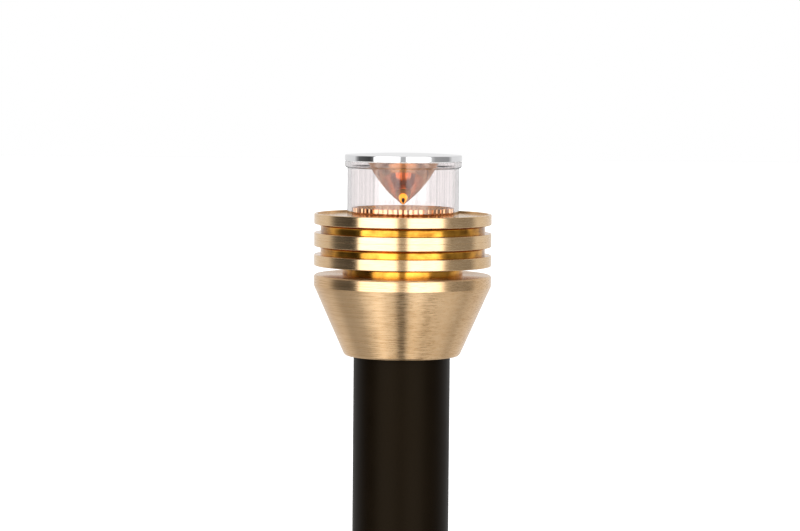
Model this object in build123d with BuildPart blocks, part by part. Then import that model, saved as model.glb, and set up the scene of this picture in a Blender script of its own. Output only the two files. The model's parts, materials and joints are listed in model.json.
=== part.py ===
"""Low-voltage garden light: a turned brass LED head on a black post with a surface-mount base.

Millimetres, +Z up. The origin is the centre of the base's underside. The set screws are at the
back, so the front of the light faces -Y.
"""
from build123d import *
import math
import os

os.makedirs("parts", exist_ok=True)

# ---- driving dimensions -------------------------------------------------------------------
HEAD_R = 34.925           # 2 3/4 in brass bar
POST_R = 19.05            # 1 1/2 in tube
POST_WALL = 3.175
POST_LENGTH = 300.0
POST_SOCKET = 20.0        # depth of the post in the head
BASE_SOCKET = 25.0        # depth of the post in the base collar
FIT_GAP = 0.10            # radial gap of the post in its sockets

PAD_R = 55.0
PAD_THICK = 2.0
FLANGE_THICK = 8.0
COLLAR_R = 27.0
COLLAR_FILLET = 4.0       # where the collar meets the flange
FLANGE_FILLET = 1.5
BOLT_CIRCLE_R = 43.0
BOLT_COUNT = 4
BOLT_HOLE_R = 3.3
CABLE_R = 3.5             # bore of the grommet for the supply cable
GROMMET_R = 10.0
GROMMET_WAIST_R = 7.95    # in the 16 mm hole of the flange
GROMMET_FOOT = 0.4        # its underside stays this far above the ground
FLANGE_HOLE_R = 8.0
PAD_HOLE_R = 11.0

TAPER_HEIGHT = 27.4
TAPER_FOOT_R = 23.0
RIM_HEIGHT = 4.3
NECK_HEIGHT = 3.6
NECK_R = 23.7
CORE_R = 32.4             # the grooves between the fins go down to this radius
FIN_3_THICK = 4.4
GROOVE_2 = 3.2
FIN_2_THICK = 5.4
GROOVE_1 = 3.3
FIN_1_THICK = 4.2
FIN_EDGE = 0.4            # chamfer of the fins' corners
LIP = 1.3                 # width of the raised lip round the recess in the top fin
RECESS = 1.0

LENS_R = 22.0
LENS_WALL = 1.5
LENS_SHOWN = 20.55        # height of the clear tube above the top fin's lip, with its top flange
LENS_FLANGE = 2.5         # thickness of that flange, which the cap sits on
LENS_FLANGE_FILLET = 0.8
CAP_R = 23.0
CAP_EDGE = 2.3
CAP_CROWN = 0.8           # how far the middle of the cap stands above its edge
CAP_SEAL_THICK = 0.2
CONE_R = 14.2
CONE_HEIGHT = 17.3
CONE_BULGE = 2.0          # how far the cone's side swells past a straight line, at mid-height
DISH_R = 20.1
DISH_RISE = 2.4           # height of the dish's rim above the top fin's lip
DISH_FLOOR_R = 9.2
DISH_EDGE = 0.6           # thickness of the dish at its rim
FACETS = 32

STUD_R = 3.0              # threaded stud of the cap that holds the cone
STUD_LENGTH = 7.0
STUD_GAP = 0.05

SET_SCREW_R = 2.5
HEAD_SCREW_LENGTH = 6.0
BASE_SCREW_LENGTH = 7.0
HEX_KEY_R = 1.44          # across the corners, halved, of a 2.5 mm key
HEX_DEPTH = 2.5

# ---- heights worked out from them ---------------------------------------------------------
FLANGE_Z = PAD_THICK
COLLAR_Z = FLANGE_Z + FLANGE_THICK
POST_TOP = COLLAR_Z + POST_LENGTH
BODY_Z = POST_TOP - POST_SOCKET
RIM_Z = BODY_Z + TAPER_HEIGHT
BODY_TOP = RIM_Z + RIM_HEIGHT
FIN_3_Z = BODY_TOP + NECK_HEIGHT
FIN_3_TOP = FIN_3_Z + FIN_3_THICK
FIN_2_Z = FIN_3_TOP + GROOVE_2
FIN_2_TOP = FIN_2_Z + FIN_2_THICK
SPLIT_Z = FIN_2_Z + FIN_2_THICK / 2
FIN_1_Z = FIN_2_TOP + GROOVE_1
HEAD_TOP = FIN_1_Z + FIN_1_THICK
LENS_TOP = HEAD_TOP + LENS_SHOWN
CAP_Z = LENS_TOP + CAP_SEAL_THICK
CAP_TOP = CAP_Z + CAP_EDGE

WEB_THICK = 2.0
CAVITY_Z = POST_TOP + WEB_THICK
CAVITY_R = 22.0           # also the thread that joins the body and the heat sink
WIRE_WAY_R = 8.0          # hole in the web under the cavity
SPIGOT_LENGTH = 6.0
SPIGOT_Z = BODY_TOP - SPIGOT_LENGTH
SPIGOT_R = CAVITY_R - 0.05
NECK_RING_TOP = BODY_TOP - 1.4
NECK_RING_Z = BODY_TOP - 3.2
NECK_RING_FLOOR_R = CAVITY_R - 1.6
NECK_RING_WIRE_R = 0.78
HOLLOW_R = 18.0           # hollow of the heat sink, under its deck
HOLLOW_TOP = FIN_3_TOP - 1.0
DECK_Z = SPLIT_Z + 4.0
THREAD_R = 28.0           # thread of the bezel on the heat sink
THREAD_GAP = 0.08
BEZEL_RING_R = 30.5       # middle of the O-ring between the bezel and the heat sink
BEZEL_RING_WIRE_R = 0.6
BEZEL_GROOVE_R = (29.6, 31.4)
SPLIT_EDGE = 0.08         # chamfer of the two halves of fin 2 where they meet
PAD_UNDER_LED = 0.5
BOARD_THICK = 1.6
BOARD_Z = DECK_Z + PAD_UNDER_LED
BOARD_TOP = BOARD_Z + BOARD_THICK
SEAL_TOP = DECK_Z + 1.2
FOOT_TOP = SEAL_TOP + 1.8
FOOT_R = 24.6
SEAL_BORE_R = 21.1
LENS_GAP = 0.1
LED_SIDE = 11.0
LED_TOP = BOARD_TOP + 1.2
PHOSPHOR_R = 5.0
PHOSPHOR_EDGE = 0.3
PHOSPHOR_CROWN = 0.5
LEAD_R = 0.8
LEAD_SPREAD = 1.2
LEAD_HOLE_R = 2.6
LEAD_START = BOARD_TOP + 0.8
LEAD_INNER_Y = 4.0        # where the leads go down into the driver
FIXING_R = 14.5           # circle of the board screws and of the lead hole
BOARD_SCREW_ANGLES = (30, 150, 270)
BOARD_SCREW_R = 1.2
BOARD_SCREW_HEAD_R = 2.2
BOARD_SCREW_HEAD = 1.7
BOARD_SCREW_LENGTH = 7.0
BOARD_KEY_R = 0.87
TAPPED_R = 1.25           # the holes in the heat sink for the board screws
TAPPED_DEPTH = 6.0
CLEAR_R = 1.4             # and those in the board and the pad
SCREW_ROOM_R = (12.0, 17.2)
SCREW_ROOM = 1.9          # ring-shaped room under the dish for the screws' heads

DRIVER_R = 13.0
DRIVER_Z = POST_TOP - 38.0
SOCKET_R = 6.0
SOCKET_Z = DRIVER_Z - 6.0
PLUG_R = 5.5
PLUG_TOP = SOCKET_Z - 0.3
PLUG_Z = SOCKET_Z - 18.0
FEED_R = 3.0
TERMINAL_R = 15.3
TERMINAL_BORE_R = 4.0
TERMINAL_Z = COLLAR_Z + 1.6
TERMINAL_TOP = TERMINAL_Z + 18.0
TERMINAL_SPACING = 20.0
TERMINAL_SCREW_R = 2.0
TERMINAL_SCREW_HOLE = 7.0
TERMINAL_SCREW_SUNK = 0.5
SLOT_WIDTH = 0.7
SLOT_DEPTH = 1.0

HEAD_SCREW_Z = BODY_Z + 8.0
HEAD_SCREW_ANGLES = (45, 135)
BASE_SCREW_Z = COLLAR_Z + 14.0
BASE_SCREW_ANGLES = (90, 210, 330)


def radial_plane(angle, height):
    """Plane on the main axis whose normal points outward at the angle."""
    direction = (math.cos(math.radians(angle)), math.sin(math.radians(angle)), 0)
    return Plane(origin=(0, 0, height), z_dir=direction)


def crown(radius, edge_height, rise):
    """Arc from the rim of a shallow dome to its top on the axis."""
    ball = (radius**2 + rise**2) / (2 * rise)
    reach = math.degrees(math.asin(radius / ball))
    return CenterArc((0, edge_height + rise - ball), ball, 90 - reach, reach)


def save(piece, label):
    """Label a finished piece and write it as its own STEP file."""
    piece.part.label = label
    export_step(piece.part, f"parts/{label}.step")


# ---- base ---------------------------------------------------------------------------------
with BuildPart() as base_pad:
    with BuildSketch():
        Circle(PAD_R)
        Circle(PAD_HOLE_R, mode=Mode.SUBTRACT)
        with PolarLocations(BOLT_CIRCLE_R, BOLT_COUNT, start_angle=45):
            Circle(BOLT_HOLE_R, mode=Mode.SUBTRACT)
    extrude(amount=PAD_THICK)
save(base_pad, "base_pad")

with BuildPart() as base_flange:
    with BuildSketch(Plane.XY.offset(FLANGE_Z)):
        Circle(PAD_R)
    extrude(amount=FLANGE_THICK)
    with BuildSketch(Plane.XY.offset(COLLAR_Z)):
        Circle(COLLAR_R)
    extrude(amount=BASE_SOCKET)
    step = base_flange.edges().filter_by(GeomType.CIRCLE).filter_by_position(
        Axis.Z, COLLAR_Z - 0.1, COLLAR_Z + 0.1,
    )
    fillet(step.sort_by(SortBy.RADIUS)[0], COLLAR_FILLET)
    fillet(step.sort_by(SortBy.RADIUS)[-1], FLANGE_FILLET)
    chamfer(base_flange.edges().group_by(Axis.Z)[-1], 0.8)
    with BuildSketch(Plane.XY.offset(COLLAR_Z)):
        Circle(POST_R + FIT_GAP)
    extrude(amount=BASE_SOCKET, mode=Mode.SUBTRACT)
    with BuildSketch(Plane.XY.offset(FLANGE_Z)):
        Circle(FLANGE_HOLE_R)
        with PolarLocations(BOLT_CIRCLE_R, BOLT_COUNT, start_angle=45):
            Circle(BOLT_HOLE_R)
    extrude(amount=FLANGE_THICK, mode=Mode.SUBTRACT)
    for angle in BASE_SCREW_ANGLES:
        with BuildSketch(radial_plane(angle, BASE_SCREW_Z).offset(POST_R)):
            Circle(SET_SCREW_R)
        extrude(amount=COLLAR_R, mode=Mode.SUBTRACT)
save(base_flange, "base_flange")

with BuildPart() as cable_grommet:
    with BuildSketch(Plane.XZ):
        with BuildLine():
            Polyline(
                (CABLE_R, GROMMET_FOOT), (GROMMET_R, GROMMET_FOOT), (GROMMET_R, FLANGE_Z),
                (GROMMET_WAIST_R, FLANGE_Z), (GROMMET_WAIST_R, COLLAR_Z), (GROMMET_R, COLLAR_Z),
                (GROMMET_R, TERMINAL_Z), (CABLE_R, TERMINAL_Z), close=True,
            )
        make_face()
    revolve(axis=Axis.Z)
save(cable_grommet, "cable_grommet")

# ---- post and what is inside it -----------------------------------------------------------
with BuildPart() as post_tube:
    with BuildSketch(Plane.XY.offset(COLLAR_Z)):
        Circle(POST_R)
        Circle(POST_R - POST_WALL, mode=Mode.SUBTRACT)
    extrude(amount=POST_LENGTH)
    rings = post_tube.edges().filter_by(GeomType.CIRCLE)
    chamfer(rings.group_by(SortBy.RADIUS)[-1], 0.5)
save(post_tube, "post_tube")

with BuildPart() as terminal_block:
    with BuildSketch(Plane.XY.offset(TERMINAL_Z)):
        Circle(TERMINAL_R)
        Circle(TERMINAL_BORE_R, mode=Mode.SUBTRACT)
    extrude(amount=TERMINAL_TOP - TERMINAL_Z)
    with BuildSketch(Plane.XY.offset(TERMINAL_TOP)):
        with GridLocations(TERMINAL_SPACING, 0, 2, 1):
            Circle(TERMINAL_SCREW_R)
    extrude(amount=-TERMINAL_SCREW_HOLE, mode=Mode.SUBTRACT)
save(terminal_block, "terminal_block")

with BuildPart() as terminal_screws:
    with BuildSketch(Plane.XY.offset(TERMINAL_TOP - TERMINAL_SCREW_HOLE)):
        with GridLocations(TERMINAL_SPACING, 0, 2, 1):
            Circle(TERMINAL_SCREW_R)
    extrude(amount=TERMINAL_SCREW_HOLE - TERMINAL_SCREW_SUNK)
    with BuildSketch(Plane.XY.offset(TERMINAL_TOP - TERMINAL_SCREW_SUNK)):
        with GridLocations(TERMINAL_SPACING, 0, 2, 1):
            Rectangle(3 * TERMINAL_SCREW_R, SLOT_WIDTH)
    extrude(amount=-SLOT_DEPTH, mode=Mode.SUBTRACT)
save(terminal_screws, "terminal_screws")

with BuildPart() as feed_cable:
    with BuildSketch(Plane.XY.offset(TERMINAL_Z)):
        Circle(FEED_R)
    extrude(amount=PLUG_Z - TERMINAL_Z)
save(feed_cable, "feed_cable")

with BuildPart() as feed_plug:
    with BuildSketch(Plane.XY.offset(PLUG_Z)):
        Circle(PLUG_R)
    extrude(amount=PLUG_TOP - PLUG_Z)
    chamfer(feed_plug.edges().group_by(Axis.Z)[0], 1.0)
save(feed_plug, "feed_plug")

with BuildPart() as driver_module:
    with BuildSketch(Plane.XY.offset(DRIVER_Z)):
        Circle(DRIVER_R)
    extrude(amount=POST_TOP - DRIVER_Z)
    with BuildSketch(Plane.XY.offset(SOCKET_Z)):
        Circle(SOCKET_R)
    extrude(amount=DRIVER_Z - SOCKET_Z)
    rings = driver_module.edges().filter_by(GeomType.CIRCLE)
    chamfer(rings.group_by(SortBy.RADIUS)[-1], 0.8)
save(driver_module, "driver_module")

# ---- brass body ---------------------------------------------------------------------------
with BuildPart() as lower_body:
    with BuildSketch(Plane.XZ):
        with BuildLine():
            Polyline(
                (WIRE_WAY_R, POST_TOP), (POST_R + FIT_GAP, POST_TOP), (POST_R + FIT_GAP, BODY_Z + 0.6),
                (POST_R + 0.7, BODY_Z), (TAPER_FOOT_R - 0.6, BODY_Z), (TAPER_FOOT_R, BODY_Z + 0.6),
                (HEAD_R, RIM_Z), (HEAD_R, BODY_TOP - 0.5), (HEAD_R - 0.5, BODY_TOP),
                (CAVITY_R, BODY_TOP), (CAVITY_R, CAVITY_Z), (WIRE_WAY_R, CAVITY_Z), close=True,
            )
        make_face()
    revolve(axis=Axis.Z)
    for angle in HEAD_SCREW_ANGLES:
        with BuildSketch(radial_plane(angle, HEAD_SCREW_Z).offset(POST_R)):
            Circle(SET_SCREW_R)
        extrude(amount=HEAD_R, mode=Mode.SUBTRACT)
save(lower_body, "lower_body")

# ---- heat sink: neck, fin 3 and the lower half of fin 2 -----------------------------------
with BuildPart() as heat_sink:
    with BuildSketch(Plane.XZ):
        with BuildLine():
            Polyline(
                (0, HOLLOW_TOP), (HOLLOW_R, HOLLOW_TOP), (HOLLOW_R, SPIGOT_Z), (SPIGOT_R, SPIGOT_Z),
                (SPIGOT_R, NECK_RING_Z), (NECK_RING_FLOOR_R, NECK_RING_Z),
                (NECK_RING_FLOOR_R, NECK_RING_TOP), (SPIGOT_R, NECK_RING_TOP),
                (SPIGOT_R, BODY_TOP), (NECK_R, BODY_TOP), (NECK_R, FIN_3_Z),
                (HEAD_R - FIN_EDGE, FIN_3_Z), (HEAD_R, FIN_3_Z + FIN_EDGE),
                (HEAD_R, FIN_3_TOP - FIN_EDGE), (HEAD_R - FIN_EDGE, FIN_3_TOP),
                (CORE_R, FIN_3_TOP), (CORE_R, FIN_2_Z),
                (HEAD_R - FIN_EDGE, FIN_2_Z), (HEAD_R, FIN_2_Z + FIN_EDGE),
                (HEAD_R, SPLIT_Z - SPLIT_EDGE), (HEAD_R - SPLIT_EDGE, SPLIT_Z),
                (BEZEL_GROOVE_R[1], SPLIT_Z), (BEZEL_GROOVE_R[1], SPLIT_Z - 2 * BEZEL_RING_WIRE_R),
                (BEZEL_GROOVE_R[0], SPLIT_Z - 2 * BEZEL_RING_WIRE_R), (BEZEL_GROOVE_R[0], SPLIT_Z),
                (THREAD_R, SPLIT_Z), (THREAD_R, DECK_Z - 0.5), (THREAD_R - 0.5, DECK_Z),
                (0, DECK_Z), close=True,
            )
        make_face()
    revolve(axis=Axis.Z)
    with BuildSketch(Plane.XY.offset(DECK_Z)):
        with PolarLocations(FIXING_R, 1, start_angle=90):
            Circle(LEAD_HOLE_R)
    extrude(amount=HOLLOW_TOP - DECK_Z, mode=Mode.SUBTRACT)
    with BuildSketch(Plane.XY.offset(DECK_Z)):
        for angle in BOARD_SCREW_ANGLES:
            with PolarLocations(FIXING_R, 1, start_angle=angle):
                Circle(TAPPED_R)
    extrude(amount=-TAPPED_DEPTH, mode=Mode.SUBTRACT)
save(heat_sink, "heat_sink")

with BuildPart() as neck_o_ring:
    with BuildSketch(Plane.XZ):
        with Locations((NECK_RING_FLOOR_R + NECK_RING_WIRE_R, (NECK_RING_Z + NECK_RING_TOP) / 2)):
            Circle(NECK_RING_WIRE_R)
    revolve(axis=Axis.Z)
save(neck_o_ring, "neck_o_ring")

with BuildPart() as bezel_o_ring:
    with BuildSketch(Plane.XZ):
        with Locations((BEZEL_RING_R, SPLIT_Z - BEZEL_RING_WIRE_R)):
            Circle(BEZEL_RING_WIRE_R)
    revolve(axis=Axis.Z)
save(bezel_o_ring, "bezel_o_ring")

# ---- light engine -------------------------------------------------------------------------
with BuildPart() as thermal_pad:
    with BuildSketch(Plane.XY.offset(DECK_Z)):
        Circle(DISH_R)
        for angle in BOARD_SCREW_ANGLES:
            with PolarLocations(FIXING_R, 1, start_angle=angle):
                Circle(CLEAR_R, mode=Mode.SUBTRACT)
        with PolarLocations(FIXING_R, 1, start_angle=90):
            Circle(LEAD_HOLE_R, mode=Mode.SUBTRACT)
    extrude(amount=PAD_UNDER_LED)
save(thermal_pad, "thermal_pad")

with BuildPart() as led_board:
    with BuildSketch(Plane.XY.offset(BOARD_Z)):
        Circle(DISH_R)
        for angle in BOARD_SCREW_ANGLES:
            with PolarLocations(FIXING_R, 1, start_angle=angle):
                Circle(CLEAR_R, mode=Mode.SUBTRACT)
        with PolarLocations(FIXING_R, 1, start_angle=90):
            Circle(LEAD_HOLE_R, mode=Mode.SUBTRACT)
    extrude(amount=BOARD_THICK)
save(led_board, "led_board")

with BuildPart() as board_screws:
    for angle in BOARD_SCREW_ANGLES:
        with BuildSketch(Plane.XY.offset(BOARD_TOP)):
            with PolarLocations(FIXING_R, 1, start_angle=angle):
                Circle(BOARD_SCREW_R)
        extrude(amount=-BOARD_SCREW_LENGTH)
        with BuildSketch(Plane.XY.offset(BOARD_TOP)):
            with PolarLocations(FIXING_R, 1, start_angle=angle):
                Circle(BOARD_SCREW_HEAD_R)
        extrude(amount=BOARD_SCREW_HEAD)
        with BuildSketch(Plane.XY.offset(BOARD_TOP + BOARD_SCREW_HEAD)):
            with PolarLocations(FIXING_R, 1, start_angle=angle):
                RegularPolygon(BOARD_KEY_R, 6)
        extrude(amount=-1.0, mode=Mode.SUBTRACT)
save(board_screws, "board_screws")

with BuildPart() as led_base:
    with BuildSketch(Plane.XY.offset(BOARD_TOP)):
        Rectangle(LED_SIDE, LED_SIDE)
    extrude(amount=LED_TOP - BOARD_TOP)
    chamfer(led_base.edges().filter_by(Axis.Z), 0.4)
save(led_base, "led_base")

with BuildPart() as led_phosphor:
    with BuildSketch(Plane.XZ):
        with BuildLine():
            Polyline(
                (0, LED_TOP + PHOSPHOR_EDGE + PHOSPHOR_CROWN), (0, LED_TOP), (PHOSPHOR_R, LED_TOP),
                (PHOSPHOR_R, LED_TOP + PHOSPHOR_EDGE),
            )
            crown(PHOSPHOR_R, LED_TOP + PHOSPHOR_EDGE, PHOSPHOR_CROWN)
        make_face()
    revolve(axis=Axis.Z)
save(led_phosphor, "led_phosphor")

with BuildPart() as reflector_dish:
    with BuildSketch(Plane.XY.offset(BOARD_TOP)):
        Circle(DISH_R)
    extrude(amount=HEAD_TOP + DISH_RISE - BOARD_TOP)
    with BuildSketch(Plane.XY.offset(BOARD_TOP + 1.0)):
        RegularPolygon(DISH_FLOOR_R, FACETS)
    with BuildSketch(Plane.XY.offset(HEAD_TOP + DISH_RISE)):
        RegularPolygon(DISH_R - DISH_EDGE, FACETS)
    loft(mode=Mode.SUBTRACT)
    with BuildSketch(Plane.XY.offset(BOARD_TOP)):
        Circle(DISH_FLOOR_R - 0.6)
    extrude(amount=1.5, mode=Mode.SUBTRACT)
    with BuildSketch(Plane.XY.offset(BOARD_TOP)):
        Circle(SCREW_ROOM_R[1])
        Circle(SCREW_ROOM_R[0], mode=Mode.SUBTRACT)
    extrude(amount=SCREW_ROOM, mode=Mode.SUBTRACT)
save(reflector_dish, "reflector_dish")

with BuildPart() as led_leads:
    for side in (-1, 1):
        x = side * LEAD_SPREAD
        with BuildLine():
            FilletPolyline(
                (x, FIXING_R, LEAD_START), (x, FIXING_R, BODY_TOP), (x, LEAD_INNER_Y, CAVITY_Z + 1.0),
                (x, LEAD_INNER_Y, POST_TOP), radius=3.0,
            )
        with BuildSketch(Plane((x, FIXING_R, LEAD_START))):
            Circle(LEAD_R)
        sweep()
save(led_leads, "led_leads")

# ---- optic: lens tube, seals, cap and cone ------------------------------------------------
with BuildPart() as lens_seal:
    with BuildSketch(Plane.XY.offset(DECK_Z)):
        Circle(FOOT_R)
        Circle(SEAL_BORE_R, mode=Mode.SUBTRACT)
    extrude(amount=SEAL_TOP - DECK_Z)
save(lens_seal, "lens_seal")

with BuildPart() as lens_tube:
    with BuildSketch(Plane.XZ):
        with BuildLine():
            Polyline(
                (LENS_R - LENS_WALL, SEAL_TOP), (FOOT_R, SEAL_TOP), (FOOT_R, FOOT_TOP), (LENS_R, FOOT_TOP),
                (LENS_R, LENS_TOP - LENS_FLANGE), (CAP_R, LENS_TOP - LENS_FLANGE), (CAP_R, LENS_TOP),
                (LENS_R - LENS_WALL, LENS_TOP), close=True,
            )
        make_face()
    revolve(axis=Axis.Z)
    rings = lens_tube.edges().filter_by(GeomType.CIRCLE)
    flange_corner = rings.filter_by_position(
        Axis.Z, LENS_TOP - LENS_FLANGE - 0.1, LENS_TOP - LENS_FLANGE + 0.1,
    )
    fillet(flange_corner.sort_by(SortBy.RADIUS)[-1], LENS_FLANGE_FILLET)
save(lens_tube, "lens_tube")

with BuildPart() as cap_seal:
    with BuildSketch(Plane.XY.offset(LENS_TOP)):
        Circle(CAP_R - 0.2)
        Circle(LENS_R - LENS_WALL, mode=Mode.SUBTRACT)
    extrude(amount=CAP_SEAL_THICK)
save(cap_seal, "cap_seal")

with BuildPart() as cap_disc:
    with BuildSketch(Plane.XZ):
        with BuildLine():
            Polyline(
                (0, CAP_TOP + CAP_CROWN), (0, CAP_Z - STUD_LENGTH), (STUD_R, CAP_Z - STUD_LENGTH),
                (STUD_R, CAP_Z), (CAP_R - 0.25, CAP_Z), (CAP_R, CAP_Z + 0.25), (CAP_R, CAP_TOP - 0.4),
                (CAP_R - 0.4, CAP_TOP),
            )
            crown(CAP_R - 0.4, CAP_TOP, CAP_CROWN)
        make_face()
    revolve(axis=Axis.Z)
save(cap_disc, "cap_disc")

with BuildPart() as reflector_cone:
    with BuildSketch(Plane.XZ):
        with BuildLine():
            side = ThreePointArc(
                (0, CAP_Z - CONE_HEIGHT),
                (CONE_R / 2 + CONE_BULGE, CAP_Z - CONE_HEIGHT / 2),
                (CONE_R, CAP_Z),
            )
            Polyline(side @ 1, (0, CAP_Z), side @ 0)
        make_face()
    revolve(axis=Axis.Z)
    with BuildSketch(Plane.XY.offset(CAP_Z)):
        Circle(STUD_R + STUD_GAP)
    extrude(amount=-STUD_LENGTH - 10 * STUD_GAP, mode=Mode.SUBTRACT)
save(reflector_cone, "reflector_cone")

# ---- bezel: fin 1 and the upper half of fin 2, screwed on the heat sink -------------------
with BuildPart() as bezel_ring:
    with BuildSketch(Plane.XZ):
        with BuildLine():
            Polyline(
                (THREAD_R + THREAD_GAP, SPLIT_Z), (HEAD_R - SPLIT_EDGE, SPLIT_Z),
                (HEAD_R, SPLIT_Z + SPLIT_EDGE), (HEAD_R, FIN_2_TOP - FIN_EDGE),
                (HEAD_R - FIN_EDGE, FIN_2_TOP), (CORE_R, FIN_2_TOP), (CORE_R, FIN_1_Z),
                (HEAD_R - FIN_EDGE, FIN_1_Z), (HEAD_R, FIN_1_Z + FIN_EDGE),
                (HEAD_R, HEAD_TOP - FIN_EDGE), (HEAD_R - FIN_EDGE, HEAD_TOP), (HEAD_R - LIP, HEAD_TOP),
                (HEAD_R - LIP, HEAD_TOP - RECESS), (LENS_R + 0.45, HEAD_TOP - RECESS),
                (LENS_R + LENS_GAP, HEAD_TOP - RECESS - 0.35), (LENS_R + LENS_GAP, FOOT_TOP),
                (FOOT_R + LENS_GAP, FOOT_TOP), (FOOT_R + LENS_GAP, DECK_Z + 0.3),
                (THREAD_R + THREAD_GAP, DECK_Z + 0.3), close=True,
            )
        make_face()
    revolve(axis=Axis.Z)
save(bezel_ring, "bezel_ring")

# ---- set screws ---------------------------------------------------------------------------
with BuildPart() as head_set_screws:
    for angle in HEAD_SCREW_ANGLES:
        with BuildSketch(radial_plane(angle, HEAD_SCREW_Z).offset(POST_R + FIT_GAP)):
            Circle(SET_SCREW_R)
        extrude(amount=HEAD_SCREW_LENGTH)
        with BuildSketch(radial_plane(angle, HEAD_SCREW_Z).offset(POST_R + FIT_GAP + HEAD_SCREW_LENGTH)):
            RegularPolygon(HEX_KEY_R, 6)
        extrude(amount=-HEX_DEPTH, mode=Mode.SUBTRACT)
save(head_set_screws, "head_set_screws")

with BuildPart() as base_set_screws:
    for angle in BASE_SCREW_ANGLES:
        with BuildSketch(radial_plane(angle, BASE_SCREW_Z).offset(POST_R + FIT_GAP)):
            Circle(SET_SCREW_R)
        extrude(amount=BASE_SCREW_LENGTH)
        with BuildSketch(radial_plane(angle, BASE_SCREW_Z).offset(POST_R + FIT_GAP + BASE_SCREW_LENGTH)):
            RegularPolygon(HEX_KEY_R, 6)
        extrude(amount=-HEX_DEPTH, mode=Mode.SUBTRACT)
save(base_set_screws, "base_set_screws")
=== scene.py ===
"""Brass LED garden light on a black post, in a plain white studio.

Metres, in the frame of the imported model: +Z up the post, the front of the light towards -Y.
Turned pieces are drawn as half outlines and spun about the post's axis.
"""
import json
import math
import bmesh
import bpy
from mathutils import Matrix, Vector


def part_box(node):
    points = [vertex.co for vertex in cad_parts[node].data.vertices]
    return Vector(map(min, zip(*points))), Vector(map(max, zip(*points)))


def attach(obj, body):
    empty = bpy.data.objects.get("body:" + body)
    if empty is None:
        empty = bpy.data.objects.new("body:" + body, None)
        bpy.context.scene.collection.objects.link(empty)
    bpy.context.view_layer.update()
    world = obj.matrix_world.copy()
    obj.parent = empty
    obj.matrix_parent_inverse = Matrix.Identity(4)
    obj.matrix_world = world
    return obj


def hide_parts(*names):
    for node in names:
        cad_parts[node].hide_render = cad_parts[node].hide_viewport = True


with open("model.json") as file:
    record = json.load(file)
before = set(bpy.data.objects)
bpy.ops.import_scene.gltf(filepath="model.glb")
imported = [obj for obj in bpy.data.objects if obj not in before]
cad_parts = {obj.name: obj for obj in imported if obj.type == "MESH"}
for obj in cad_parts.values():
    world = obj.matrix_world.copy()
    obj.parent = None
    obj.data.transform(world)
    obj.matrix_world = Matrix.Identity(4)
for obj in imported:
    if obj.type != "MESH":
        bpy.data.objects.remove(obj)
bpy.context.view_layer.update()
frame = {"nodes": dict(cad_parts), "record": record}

MM = 0.001
AXIS = (0, 0, 1)
TURN_STEPS = 192          # faces round a turned piece
SHARP_ANGLE = 28.0        # degrees between faces, past which an edge is kept sharp
WHITE = (1.0, 1.0, 1.0, 1.0)


def low(node):
    """Height of a node's underside."""
    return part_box(node)[0][2]


def top(node):
    """Height of a node's upper side."""
    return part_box(node)[1][2]


def reach(node):
    """Largest radius of a turned node."""
    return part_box(node)[1][0]


# ---- camera ---------------------------------------------------------------------------------
CAMERA_DISTANCE = 1.05
CAMERA_HEIGHT = 0.3987
CAMERA_ASIDE = -1.0 * MM
CAMERA_DROP = math.radians(4.0)
CAMERA_ROLL = math.radians(0.5)
CAMERA_LENS_MM = 120.2


def aim_camera():
    """Long lens, a little above the head and looking slightly down."""
    data = bpy.data.cameras.new("camera")
    data.lens = CAMERA_LENS_MM
    data.clip_start = 0.01
    data.clip_end = 50.0
    camera = bpy.data.objects.new("camera", data)
    bpy.context.scene.collection.objects.link(camera)
    place = Matrix.Translation((CAMERA_ASIDE, -CAMERA_DISTANCE, CAMERA_HEIGHT))
    tilt = Matrix.Rotation(math.radians(90) - CAMERA_DROP, 4, "X")
    camera.matrix_world = place @ tilt @ Matrix.Rotation(CAMERA_ROLL, 4, "Z")
    bpy.context.scene.camera = camera


aim_camera()


# ---- node trees -----------------------------------------------------------------------------
class Nodes:
    """A node tree under construction, with short ways to add to it."""

    def __init__(self, tree):
        self.tree = tree

    def node(self, kind, **settings):
        made = self.tree.nodes.new(kind)
        for key, value in settings.items():
            setattr(made, key, value)
        return made

    def feed(self, socket, value):
        """Link another node's output to a socket, or set the socket to a number or colour."""
        if isinstance(value, bpy.types.NodeSocket):
            self.tree.links.new(value, socket)
        else:
            socket.default_value = value

    def math(self, operation, *values):
        made = self.node("ShaderNodeMath", operation=operation)
        for socket, value in zip(made.inputs, values):
            self.feed(socket, value)
        return made.outputs[0]

    def split(self, coordinates):
        """X, Y and Z of a kind of texture coordinates."""
        made = self.node("ShaderNodeSeparateXYZ")
        self.feed(made.inputs[0], self.node("ShaderNodeTexCoord").outputs[coordinates])
        return made.outputs

    def combine(self, x, y, z):
        made = self.node("ShaderNodeCombineXYZ")
        for socket, value in zip(made.inputs, (x, y, z)):
            self.feed(socket, value)
        return made.outputs[0]

    def span(self, value, lowest, highest, from_low=0.3, from_high=0.7):
        """Stretch a value's range to lowest to highest."""
        made = self.node("ShaderNodeMapRange")
        made.inputs["From Min"].default_value = from_low
        made.inputs["From Max"].default_value = from_high
        made.inputs["To Min"].default_value = lowest
        made.inputs["To Max"].default_value = highest
        self.feed(made.inputs["Value"], value)
        return made.outputs[0]

    def ramp(self, value, *stops):
        """Colours along a value, from (position, colour) stops in order."""
        made = self.node("ShaderNodeValToRGB")
        elements = made.color_ramp.elements
        elements.remove(elements[1])
        elements[0].position = stops[0][0]
        elements[0].color = (*stops[0][1], 1.0)
        for position, colour in stops[1:]:
            elements.new(position).color = (*colour, 1.0)
        self.feed(made.inputs[0], value)
        return made.outputs[0]

    def mix_shaders(self, factor, first, second):
        made = self.node("ShaderNodeMixShader")
        for socket, value in zip(made.inputs, (factor, first, second)):
            self.feed(socket, value)
        return made.outputs[0]


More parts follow.
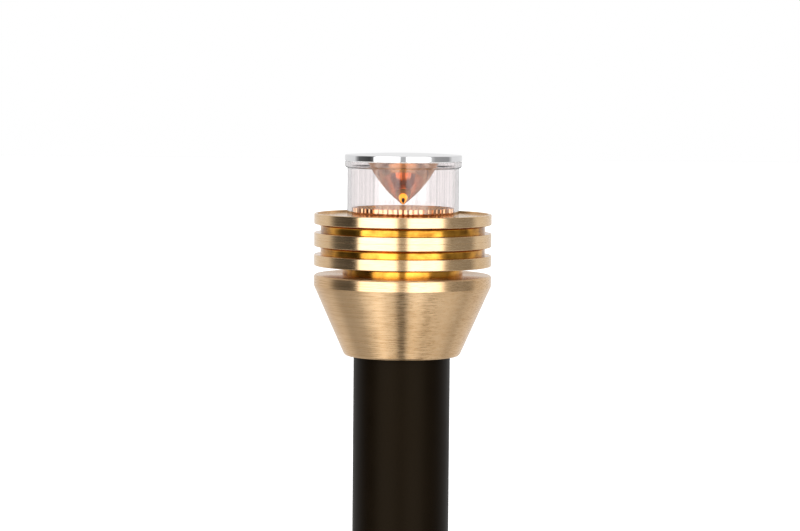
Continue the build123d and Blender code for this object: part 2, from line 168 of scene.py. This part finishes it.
class Finish(Nodes):
    """A material under construction, with its Principled shader."""

    def __init__(self, name, **sockets):
        self.material = bpy.data.materials.new(name)
        self.material.use_nodes = True
        super().__init__(self.material.node_tree)
        self.shader = self.tree.nodes["Principled BSDF"]
        for socket, value in sockets.items():
            self.drive(socket.replace("_", " "), value)

    def drive(self, socket, value):
        """Feed one of the shader's sockets."""
        self.feed(self.shader.inputs[socket], value)

    def around(self):
        """Radius and height of each point about the post's axis."""
        x, y, z = self.split("Object")
        squares = self.math("ADD", self.math("MULTIPLY", x, x), self.math("MULTIPLY", y, y))
        return self.math("SQRT", squares), z

    def noise(self, vector=None, scale=100.0, detail=3.0, roughness=0.5):
        made = self.node("ShaderNodeTexNoise")
        made.inputs["Scale"].default_value = scale
        made.inputs["Detail"].default_value = detail
        made.inputs["Roughness"].default_value = roughness
        if vector is None:
            vector = self.node("ShaderNodeTexCoord").outputs["Object"]
        self.feed(made.inputs["Vector"], vector)
        return made.outputs["Fac"]

    def blend(self, factor, first, second):
        """A colour between two others."""
        made = self.node("ShaderNodeMix", data_type="RGBA")
        for socket, value in (("Factor", factor), ("A", first), ("B", second)):
            self.feed(made.inputs[socket], value)
        return made.outputs["Result"]

    def mottle(self, pattern, tint, darker, low=0.35, high=0.65):
        """Base colour that runs with a pattern from a darker share of the tint to the tint."""
        dark = tuple(darker * part for part in tint)
        self.drive("Base Color", self.ramp(pattern, (low, dark), (high, tint)))

    def bump(self, pattern, depth, strength=1.0):
        made = self.node("ShaderNodeBump")
        made.inputs["Distance"].default_value = depth
        made.inputs["Strength"].default_value = strength
        self.feed(made.inputs["Height"], pattern)
        self.drive("Normal", made.outputs["Normal"])


# ---- finishes -------------------------------------------------------------------------------
def tool_lines(finish, pitch, run=12 * MM):
    """Lines left by the lathe: rings on a face, level lines on a wall, each broken after a run."""
    radius, height = finish.around()
    x, y, _ = finish.split("Object")
    vector = finish.combine(
        finish.math("MULTIPLY", radius, 1.0 / pitch),
        finish.math("MULTIPLY", height, 1.0 / pitch),
        finish.math("MULTIPLY", finish.math("ADD", x, y), 1.0 / run),
    )
    return finish.noise(vector, scale=1.0, detail=3.0, roughness=0.6)


def brass(name, pale, deep, roughness, anisotropy, line_depth, streaks=0.5, drift_scale=45.0):
    """Turned brass, brushed round: fine and coarse tool lines, colour drift and handling marks."""
    finish = Finish(name, Metallic=1.0, Anisotropic=anisotropy, Anisotropic_Rotation=0.25)
    fine = tool_lines(finish, 0.11 * MM)
    coarse = tool_lines(finish, 0.32 * MM, 4 * MM)
    lines = finish.math("ADD", finish.math("MULTIPLY", fine, 0.4), finish.math("MULTIPLY", coarse, 0.6))
    drift = finish.noise(scale=drift_scale, detail=5.0)
    drifting = finish.ramp(drift, (0.35, deep), (0.65, pale))
    lined = finish.ramp(lines, (0.40, deep), (0.56, pale))
    finish.drive("Base Color", finish.blend(streaks, drifting, lined))
    smears = finish.noise(scale=25.0, detail=6.0, roughness=0.6)
    wear = finish.math("ADD", finish.span(lines, -0.08, 0.08), finish.span(smears, -0.03, 0.04))
    finish.drive("Roughness", finish.math("ADD", wear, roughness))
    finish.bump(lines, line_depth)
    brushing = finish.node("ShaderNodeTangent", direction_type="RADIAL", axis="Z")
    finish.drive("Tangent", brushing.outputs[0])
    return finish.material


def black_coat(name, tint, roughness, grain):
    """Satin powder coat: a fine even orange peel and faint handling marks."""
    finish = Finish(name, Specular_IOR_Level=0.07, Specular_Tint=(1.0, 0.80, 0.55, 1.0))
    peel = finish.noise(scale=grain, detail=3.0)
    marks = finish.noise(scale=35.0, detail=6.0, roughness=0.65)
    finish.mottle(marks, tint, 0.75)
    finish.drive("Roughness", finish.span(marks, roughness - 0.04, roughness + 0.05))
    finish.bump(peel, 0.02 * MM, 0.35)
    return finish.material


def mirror_metal(name, tint, roughness):
    """Polished metal with faint polishing haze."""
    finish = Finish(name, Metallic=1.0)
    haze = finish.noise(scale=80.0, detail=6.0, roughness=0.65)
    finish.mottle(haze, tint, 0.95, 0.3, 0.7)
    finish.drive("Roughness", finish.span(haze, roughness * 0.6, roughness * 1.5))
    return finish.material


def clear_plastic(name, tint, roughness):
    """Clear polished tube: faint drawing lines up the wall."""
    finish = Finish(name, Transmission_Weight=1.0, IOR=1.47)
    lines_per_metre = (900.0, 900.0, 12.0)
    scaled = [finish.math("MULTIPLY", *pair) for pair in zip(finish.split("Object"), lines_per_metre)]
    streaks = finish.noise(finish.combine(*scaled), scale=1.0, detail=2.0)
    finish.mottle(streaks, tint, 0.84, 0.35, 0.60)
    finish.drive("Roughness", finish.span(streaks, roughness, roughness + 0.02))
    finish.bump(streaks, 0.02 * MM, 0.5)
    return finish.material


def soft_rubber(name, tint, roughness=0.6, grain=900.0):
    """Moulded rubber or silicone, with a fine matt skin."""
    finish = Finish(name, Specular_IOR_Level=0.35)
    skin = finish.noise(scale=grain, detail=3.0)
    bloom = finish.noise(scale=70.0, detail=5.0)
    paler = tuple(min(1.0, part * 1.35 + 0.004) for part in tint)
    finish.drive("Base Color", finish.ramp(bloom, (0.4, tint), (0.75, paler)))
    finish.drive("Roughness", finish.span(skin, roughness - 0.08, roughness + 0.08))
    finish.bump(skin, 0.02 * MM, 0.5)
    return finish.material


def moulded(name, tint, roughness=0.45, grain=1400.0):
    """Moulded plastic or a printed board's mask, with a fine texture and a faint cloud."""
    finish = Finish(name)
    texture = finish.noise(scale=grain, detail=2.0)
    cloud = finish.noise(scale=90.0, detail=4.0)
    finish.mottle(cloud, tint, 0.88)
    finish.drive("Roughness", finish.span(texture, roughness - 0.06, roughness + 0.08))
    finish.bump(texture, 0.015 * MM, 0.5)
    return finish.material


def phosphor(name):
    """Silicone dome: a ring of phosphor grains round the dark dies, with a painted glow on the ring though
    the LED is off.
    """
    finish = Finish(name, Roughness=0.25)
    grains = finish.noise(scale=2500.0, detail=4.0)
    yellow = finish.ramp(grains, (0.35, (0.90, 0.46, 0.03)), (0.65, (1.0, 0.62, 0.10)))
    radius, _ = finish.around()
    ring = finish.span(radius, 0.0, 1.0, 1.8 * MM, 2.6 * MM)
    finish.drive("Base Color", finish.blend(ring, (0.03, 0.025, 0.015, 1.0), yellow))
    # Painted glow: the unlit phosphor ring emits, so that what the copper reflects of it is brighter.
    finish.drive("Emission Color", yellow)
    finish.drive("Emission Strength", finish.math("MULTIPLY", ring, 2.4))
    finish.bump(grains, 0.01 * MM, 0.3)
    return finish.material


def machine_metal(name, tint, roughness, grain=600.0):
    """Plain machined metal of small parts."""
    finish = Finish(name, Metallic=1.0)
    grains = finish.noise(scale=grain, detail=5.0)
    finish.mottle(grains, tint, 0.8)
    finish.drive("Roughness", finish.span(grains, roughness - 0.07, roughness + 0.1))
    finish.bump(grains, 0.01 * MM, 0.5)
    return finish.material


FINISHES = {
    "brass_body": brass("satin_brass_body", (0.88, 0.615, 0.36), (0.57, 0.345, 0.16), roughness=0.29,
                        anisotropy=0.88, line_depth=0.010 * MM, streaks=0.65),
    "brass_fins": brass("turned_brass_fins", (0.86, 0.62, 0.37), (0.66, 0.43, 0.22), roughness=0.24,
                        anisotropy=0.88, line_depth=0.006 * MM),
    "post_black": black_coat("black_post_coat", (0.0052, 0.0028, 0.0010), 0.42, 1500.0),
    "black_coat": black_coat("black_base_coat", (0.006, 0.0045, 0.003), 0.40, 1200.0),
    "cap_mirror": mirror_metal("polished_cap", (0.86, 0.86, 0.87), 0.03),
    "cone_copper": mirror_metal("mirror_copper", (0.84, 0.52, 0.34), 0.02),
    "dish_copper": mirror_metal("bright_copper_facets", (0.98, 0.58, 0.32), 0.06),
    "lens_clear": clear_plastic("clear_lens", (0.89, 0.855, 0.855), 0.0),
    "clear_silicone": soft_rubber("clear_silicone", (0.78, 0.78, 0.77), 0.35),
    "base_rubber": soft_rubber("base_rubber", (0.025, 0.025, 0.025)),
    "grommet_rubber": soft_rubber("grommet_rubber", (0.02, 0.02, 0.02), 0.5),
    "o_ring_rubber": soft_rubber("o_ring_rubber", (0.015, 0.015, 0.015), 0.4),
    "thermal_silicone": soft_rubber("thermal_silicone", (0.45, 0.48, 0.55), 0.7),
    "cable_jacket": soft_rubber("cable_jacket", (0.02, 0.02, 0.02), 0.5),
    "lead_jacket": soft_rubber("lead_jacket", (0.45, 0.03, 0.02), 0.4),
    "nylon": moulded("natural_nylon", (0.72, 0.69, 0.62)),
    "plug_plastic": moulded("plug_plastic", (0.03, 0.03, 0.03)),
    "driver_case": moulded("driver_potting", (0.035, 0.035, 0.04), 0.4),
    "board_white": moulded("board_mask", (0.88, 0.66, 0.25), 0.3),
    "led_ceramic": machine_metal("gilded_led_base", (0.95, 0.62, 0.16), 0.35),
    "phosphor": phosphor("led_phosphor"),
    "terminal_brass": machine_metal("terminal_brass", (0.75, 0.55, 0.28), 0.3),
    "screw_steel": machine_metal("black_steel", (0.20, 0.19, 0.18), 0.35),
}

# What the brush doesn't reach: a more golden brass in the grooves and the neck. Its near-black deep colour
# and patchy drift are painted shade under the fins and painted hot-spot highlights.
GROOVE_GOLD_AND_PAINTED_SHADE = brass("golden_groove_brass_and_painted_shade", (0.88, 0.42, 0.06), (0.16, 0.055, 0.004), roughness=0.15,
                     anisotropy=0.7, line_depth=0.002 * MM, streaks=0.2, drift_scale=110.0)

for part in frame["record"]["subparts"]:
    shown = frame["nodes"][part["node"]]
    shown.data.materials.clear()
    shown.data.materials.append(FINISHES[part["material_slot"]])


# ---- turned pieces --------------------------------------------------------------------------
def turned(name, outline, body, slot, node, closed=True, steps=TURN_STEPS, shape=None, sharp=SHARP_ANGLE):
    """Spin a half outline of (radius, height, corner radius) points into a piece that replaces a node."""
    form = bmesh.new()
    corners = [form.verts.new((r, 0.0, z)) for r, z, _ in outline]
    for first, second in zip(corners, corners[1:]):
        form.edges.new((first, second))
    if closed:
        form.edges.new((corners[-1], corners[0]))
    for corner, (_, _, rounding) in zip(corners, outline):
        if rounding:
            bmesh.ops.bevel(
                form, geom=[corner], offset=rounding, offset_type="OFFSET", affect="VERTICES",
                segments=4, profile=0.5, material=-1,
            )
    hold_corners(form, 0.12 * MM)
    bmesh.ops.spin(
        form, geom=form.verts[:] + form.edges[:], cent=(0, 0, 0), axis=AXIS, angle=math.tau,
        steps=steps, use_merge=True,
    )
    bmesh.ops.remove_doubles(form, verts=form.verts[:], dist=1e-6)
    bmesh.ops.recalc_face_normals(form, faces=form.faces[:])
    if shape:
        shape(form)
    return finished(name, form, body, slot, node, sharp)


def hold_corners(form, margin):
    """Cut each long stretch of the outline close to its ends, so that its face stays flat."""
    for edge in [e for e in form.edges if e.calc_length() > 5 * margin]:
        start, end = edge.verts
        length = edge.calc_length()
        rest, _ = bmesh.utils.edge_split(edge, start, margin / length)
        far = edge if end in edge.verts else rest
        bmesh.utils.edge_split(far, end, margin / far.calc_length())


def finished(name, form, body, slot, node, sharp):
    """Make the piece's object, smooth but with its real edges, and set it in the frame."""
    mesh = bpy.data.meshes.new(name)
    form.to_mesh(mesh)
    form.free()
    mesh.shade_smooth()
    mesh.set_sharp_from_angle(angle=math.radians(sharp))
    mesh.materials.append(FINISHES[slot])
    piece = bpy.data.objects.new(name, mesh)
    bpy.context.scene.collection.objects.link(piece)
    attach(piece, body)
    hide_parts(node)
    return piece


# ---- sizes of the head ----------------------------------------------------------------------
FIN_HEIGHTS = (4.2 * MM, 5.4 * MM, 4.4 * MM)      # from the top fin down
GROOVE_HEIGHTS = (3.3 * MM, 3.2 * MM)
FIN_EDGE = 0.35 * MM                              # rounding of the fins' edges
ROOT_EDGE = 0.15 * MM                             # and of the grooves' lower corners
GROOVE_HOLLOW = 1.2 * MM                          # and of the upper ones, under each fin
SPLIT_EDGE = 0.08 * MM                            # and of the joint in the thick fin
CORE_R = 32.4 * MM
NECK_R = 23.7 * MM
THREAD_R = 28.0 * MM
LENS_R = 22.0 * MM
LENS_WALL = 1.5 * MM
LENS_FLANGE = 2.5 * MM
LENS_FOOT = 1.8 * MM
FIT = 0.1 * MM                                    # gap between the lens and the bezel
HAIR = 0.01 * MM                                  # smaller than any detail

head_r = reach("bezel_ring")
head_top = top("bezel_ring")
split_z = low("bezel_ring")
fin_1_z = head_top - FIN_HEIGHTS[0]
fin_2_top = fin_1_z - GROOVE_HEIGHTS[0]
fin_2_z = fin_2_top - FIN_HEIGHTS[1]
fin_3_top = fin_2_z - GROOVE_HEIGHTS[1]
fin_3_z = fin_3_top - FIN_HEIGHTS[2]
body_top = top("lower_body")
deck_z = low("thermal_pad")
foot_r = reach("lens_tube")
foot_z = low("lens_tube")
foot_top = foot_z + LENS_FOOT
lens_top = top("lens_tube")
cap_r = reach("cap_disc")
cap_z = top("cap_seal")


# ---- brass head -----------------------------------------------------------------------------
def gild_and_shade_grooves(piece):
    """Give the grooves and the neck their golden brass, with its painted shade and painted highlights."""
    piece.data.materials.append(GROOVE_GOLD_AND_PAINTED_SHADE)
    for face in piece.data.polygons:
        across = math.hypot(face.center.x, face.center.y)
        set_back = NECK_R - 0.2 * MM < across < head_r - FIN_EDGE
        if set_back and body_top + HAIR < face.center.z < fin_1_z + HAIR:
            face.material_index = 1


def bezel():
    """Top fin with its shallow recess, the upper half of the thick fin and the lens's seat."""
    mouth = LENS_R + FIT
    lip_r = head_r - 1.3 * MM
    recess_z = head_top - 1.0 * MM
    pocket_r = foot_r + FIT
    pocket_z = deck_z + 0.3 * MM
    bore = THREAD_R + 0.08 * MM
    piece = turned("brass_bezel", [
        (bore, split_z, 0), (head_r, split_z, SPLIT_EDGE), (head_r, fin_2_top, FIN_EDGE),
        (CORE_R, fin_2_top, ROOT_EDGE), (CORE_R, fin_1_z, GROOVE_HOLLOW), (head_r, fin_1_z, FIN_EDGE),
        (head_r, head_top, FIN_EDGE), (lip_r, head_top, 0.15 * MM), (lip_r, recess_z, 0.2 * MM),
        (mouth, recess_z, 0.3 * MM), (mouth, foot_top, 0),
        (pocket_r, foot_top, 0), (pocket_r, pocket_z, 0), (bore, pocket_z, 0),
    ], "bezel", "brass_fins", "bezel_ring")
    gild_and_shade_grooves(piece)


def fins():
    """Neck, lowest fin and the lower half of the thick fin, with the deck that carries the LED."""
    hollow_r = 18.0 * MM
    hollow_top = fin_3_top - 1.0 * MM
    spigot_r = 21.95 * MM
    spigot_z = low("heat_sink")
    seal_r = 20.4 * MM        # groove of the O-ring in the neck
    seal_low = body_top - 3.2 * MM
    seal_high = body_top - 1.4 * MM
    ring_in = 29.6 * MM       # groove of the O-ring under the bezel
    ring_out = 31.4 * MM
    ring_z = split_z - 1.2 * MM
    piece = turned("brass_fins", [
        (0, hollow_top, 0), (hollow_r, hollow_top, 0), (hollow_r, spigot_z, 0), (spigot_r, spigot_z, 0),
        (spigot_r, seal_low, 0), (seal_r, seal_low, 0), (seal_r, seal_high, 0), (spigot_r, seal_high, 0),
        (spigot_r, body_top, 0), (NECK_R, body_top, 0), (NECK_R, fin_3_z, GROOVE_HOLLOW),
        (head_r, fin_3_z, FIN_EDGE), (head_r, fin_3_top, FIN_EDGE), (CORE_R, fin_3_top, ROOT_EDGE),
        (CORE_R, fin_2_z, GROOVE_HOLLOW), (head_r, fin_2_z, FIN_EDGE), (head_r, split_z, SPLIT_EDGE),
        (ring_out, split_z, 0), (ring_out, ring_z, 0), (ring_in, ring_z, 0), (ring_in, split_z, 0),
        (THREAD_R, split_z, 0), (THREAD_R, deck_z, 0.5 * MM), (0, deck_z, 0),
    ], "head", "brass_fins", "heat_sink", closed=False)
    gild_and_shade_grooves(piece)


# ---- optic ----------------------------------------------------------------------------------
def lens():
    """Clear tube with a foot under the bezel's lip and a flange under the cap."""
    inside = LENS_R - LENS_WALL
    flange_z = lens_top - LENS_FLANGE
    turned("clear_tube", [
        (inside, foot_z, 0), (foot_r, foot_z, 0.1 * MM), (foot_r, foot_top, 0.1 * MM),
        (LENS_R, foot_top, 0.1 * MM), (LENS_R, flange_z, 0.15 * MM), (cap_r, flange_z, 0.8 * MM),
        (cap_r, lens_top, 0.1 * MM), (inside, lens_top, 0.1 * MM),
    ], "optic", "lens_clear", "lens_tube")


def cap():
    """Crowned mirror disc with the stud that carries the cone."""
    stud_r = 3.0 * MM
    stud_z = low("cap_disc")
    crown = 0.8 * MM
    edge_top = top("cap_disc") - crown
    dome_r = cap_r - 0.4 * MM
    ball_r = (dome_r**2 + crown**2) / (2 * crown)
    half = math.asin(dome_r / ball_r)
    steps = 8
    dome = []
    for step in range(1, steps + 1):
        angle = half * (1 - step / steps)
        dome.append((ball_r * math.sin(angle), edge_top + crown - ball_r * (1 - math.cos(angle)), 0))
    turned("mirror_cap", [
        (0, stud_z, 0), (stud_r, stud_z, 0.3 * MM), (stud_r, cap_z, 0), (cap_r, cap_z, 0.2 * MM),
        (cap_r, edge_top, 0.35 * MM), *dome,
    ], "optic", "cap_mirror", "cap_disc", closed=False)


def cone():
    """Hanging copper mirror: its side is one arc, from the point out to the rim."""
    belly = 2.0 * MM
    stud_hole_r = 3.05 * MM
    stud_hole_z = cap_z - 7.5 * MM
    height = cap_z - low("reflector_cone")
    rim_r = reach("reflector_cone")
    centre = arc_centre((0, -height), (rim_r / 2 + belly, -height / 2), (rim_r, 0))
    radius = math.dist(centre, (rim_r, 0))
    start = math.atan2(-height - centre[1], -centre[0])
    end = math.atan2(-centre[1], rim_r - centre[0])
    steps = 24
    side = [(0, cap_z - height, 0)]
    for step in range(1, steps + 1):
        angle = start + (end - start) * step / steps
        side.append((centre[0] + radius * math.cos(angle), cap_z + centre[1] + radius * math.sin(angle), 0))
    turned("copper_cone", [
        *side, (stud_hole_r, cap_z, 0), (stud_hole_r, stud_hole_z, 0), (0, stud_hole_z, 0),
    ], "optic", "cone_copper", "reflector_cone", closed=False)


def arc_centre(a, b, c):
    """Centre of the circle through three points of an outline."""
    (ax, ay), (bx, by), (cx, cy) = a, b, c
    double = 2 * (ax * (by - cy) + bx * (cy - ay) + cx * (ay - by))
    squares = [x * x + y * y for x, y in (a, b, c)]
    x = (squares[0] * (by - cy) + squares[1] * (cy - ay) + squares[2] * (ay - by)) / double
    y = (squares[0] * (cx - bx) + squares[1] * (ax - cx) + squares[2] * (bx - ax)) / double
    return x, y


def dish():
    """Copper ring round the LED, in flat facets with a groove at each corner and a finer one between."""
    facets = 32
    steps_per_facet = 10
    corner_groove = 0.7 * MM
    middle_groove = 0.4 * MM
    groove_share = 0.05       # of a facet's half width
    outer = reach("reflector_dish")
    rim_top = top("reflector_dish")
    foot = low("reflector_dish")
    floor_top = foot + 1.0 * MM
    bore = 8.6 * MM
    inner_top = outer - 0.6 * MM
    inner_low = 9.2 * MM
    screws_in = 12.0 * MM     # ring-shaped room on the underside for the board screws' heads
    screws_out = 17.2 * MM
    screws_top = foot + 1.9 * MM

    def facet(form):
        """Draw the walls in to the facets' chords and cut the grooves."""
        half = math.pi / facets
        for vert in form.verts:
            radius = math.hypot(vert.co.x, vert.co.y)
            above_floor = vert.co.z > floor_top - 0.1 * MM
            inside = above_floor and inner_low - 0.4 * MM < radius < inner_top + HAIR
            if inside or radius > outer - 0.15 * MM:
                turn = math.atan2(vert.co.y, vert.co.x) % (2 * half) - half
                pull = math.cos(half) / math.cos(turn)
                depth = 0.0
                if abs(turn) > (1 - groove_share) * half:
                    depth = corner_groove / radius
                elif abs(turn) < groove_share * half:
                    depth = middle_groove / radius
                pull += depth if inside else -depth
                vert.co.x *= pull
                vert.co.y *= pull

    turned("copper_dish", [
        (bore, foot, 0), (screws_in, foot, 0), (screws_in, screws_top, 0), (screws_out, screws_top, 0),
        (screws_out, foot, 0), (outer, foot, 0), (outer, rim_top, 0.1 * MM), (inner_top, rim_top, 0),
        (inner_low, floor_top, 0), (bore, floor_top, 0),
    ], "head", "dish_copper", "reflector_dish", steps=steps_per_facet * facets, shape=facet, sharp=6.0)


# ---- post -----------------------------------------------------------------------------------
def post():
    """Coated tube."""
    wall = 3.175 * MM
    edge = 0.5 * MM
    outer = reach("post_tube")
    post_z = low("post_tube")
    post_top = top("post_tube")
    turned("black_post", [
        (outer - wall, post_z, 0), (outer, post_z, edge), (outer, post_top, edge),
        (outer - wall, post_top, 0),
    ], "post", "post_black", "post_tube")


bezel()
fins()
lens()
cap()
cone()
dish()
post()

# ---- studio ---------------------------------------------------------------------------------
FLOOR_SIZE = 12.0
FLOOR_GLOW = 0.52         # lifts the floor to white where the camera looks straight at it


def floor():
    """Plain pale floor. Reflections, also those seen through the lens, look past it into the room."""
    paint = Finish("pale_floor", Roughness=0.95, Specular_IOR_Level=0.0, Emission_Color=WHITE)
    speckle = paint.noise(scale=3.0)
    paint.drive("Base Color", paint.ramp(speckle, (0.3, (0.80, 0.80, 0.80)), (0.7, (0.82, 0.82, 0.82))))
    path = paint.node("ShaderNodeLightPath").outputs
    seen = paint.math("MAXIMUM", path["Is Camera Ray"], path["Is Transmission Ray"])
    paint.drive("Emission Strength", paint.math("MULTIPLY", seen, FLOOR_GLOW))
    reflected = paint.math("GREATER_THAN", path["Glossy Depth"], 0.5)
    nothing = paint.node("ShaderNodeBsdfTransparent").outputs[0]
    surface = paint.mix_shaders(reflected, paint.shader.outputs[0], nothing)
    paint.feed(paint.tree.nodes["Material Output"].inputs["Surface"], surface)
    form = bmesh.new()
    bmesh.ops.create_grid(form, x_segments=1, y_segments=1, size=FLOOR_SIZE)
    mesh = bpy.data.meshes.new("floor")
    form.to_mesh(mesh)
    form.free()
    mesh.materials.append(paint.material)
    plane = bpy.data.objects.new("floor", mesh)
    bpy.context.scene.collection.objects.link(plane)
    plane.visible_glossy = False


# Brightness round the light: bearing from the camera in degrees, to the right, and level.
ROOM = (
    (-180, 0.85), (-112, 0.80), (-103, 0.30), (-97, 0.12), (-70, 0.06), (-62, 0.14), (-57, 3.0), (-10, 3.0),
    (-5, 0.50), (4, 0.50), (9, 3.0), (49, 3.0), (58, 0.60), (66, 0.36), (100, 0.32), (112, 0.80),
    (180, 0.85),
)
# The same for what the taper reflects, lower down: the lights' lower ends and the pale ground.
LOW_ROOM = (
    (-180, 0.62), (-100, 0.62), (-80, 0.62), (-66, 0.48), (-58, 0.50), (-50, 1.20), (-42, 1.35), (-32, 0.82),
    (-16, 0.68), (-6, 0.08), (5, 0.08), (13, 0.85), (25, 0.98), (34, 0.80), (44, 0.30), (60, 0.32),
    (74, 0.98), (90, 0.90), (110, 0.64), (180, 0.62),
)
ROOM_PEAK = 3.0
CEILING = 0.75
GROUND = 0.42
LIGHTS_TOP = (0.70, 0.85)     # sine of the height where the room turns into the ceiling
LIGHTS_FOOT = (-0.35, -0.60)  # and of the depth where the lower room begins
GROUND_LINE = (-0.88, -0.97)  # and of the depth where only ground is left


class Sky(Nodes):
    """The studio's world under construction."""

    def __init__(self):
        world = bpy.data.worlds.new("studio")
        world.use_nodes = True
        bpy.context.scene.world = world
        super().__init__(world.node_tree)
        self.tree.nodes.clear()

    def light(self, strength, colour=WHITE):
        made = self.node("ShaderNodeBackground")
        self.feed(made.inputs["Color"], colour)
        made.inputs["Strength"].default_value = strength
        return made.outputs[0]

    def round(self, turn, levels):
        """Light that changes with the bearing only."""
        stops = [((degrees + 180) / 360, (level / ROOM_PEAK,) * 3) for degrees, level in levels]
        return self.light(ROOM_PEAK, self.ramp(turn, *stops))


def studio():
    """Two tall soft lights in front, dim sides, a pale back, and plain white where seen directly."""
    sky = Sky()
    x, y, height = sky.split("Generated")
    bearing = sky.math("ARCTAN2", x, sky.math("MULTIPLY", y, -1.0))
    turn = sky.span(bearing, 0.0, 1.0, -math.pi, math.pi)
    below = sky.span(height, 0.0, 1.0, *LIGHTS_FOOT)
    room = sky.mix_shaders(below, sky.round(turn, ROOM), sky.round(turn, LOW_ROOM))
    room = sky.mix_shaders(sky.span(height, 0.0, 1.0, *GROUND_LINE), room, sky.light(GROUND))
    room = sky.mix_shaders(sky.span(height, 0.0, 1.0, *LIGHTS_TOP), room, sky.light(CEILING))
    path = sky.node("ShaderNodeLightPath").outputs
    direct = sky.math("LESS_THAN", path["Glossy Depth"], 0.5)
    through_lens = sky.math("MULTIPLY", path["Is Transmission Ray"], direct)
    seen = sky.math("MAXIMUM", path["Is Camera Ray"], through_lens)
    whole = sky.mix_shaders(seen, room, sky.light(1.0))
    sky.feed(sky.node("ShaderNodeOutputWorld").inputs["Surface"], whole)


floor()
studio()
bpy.context.scene.view_settings.view_transform = "Standard"
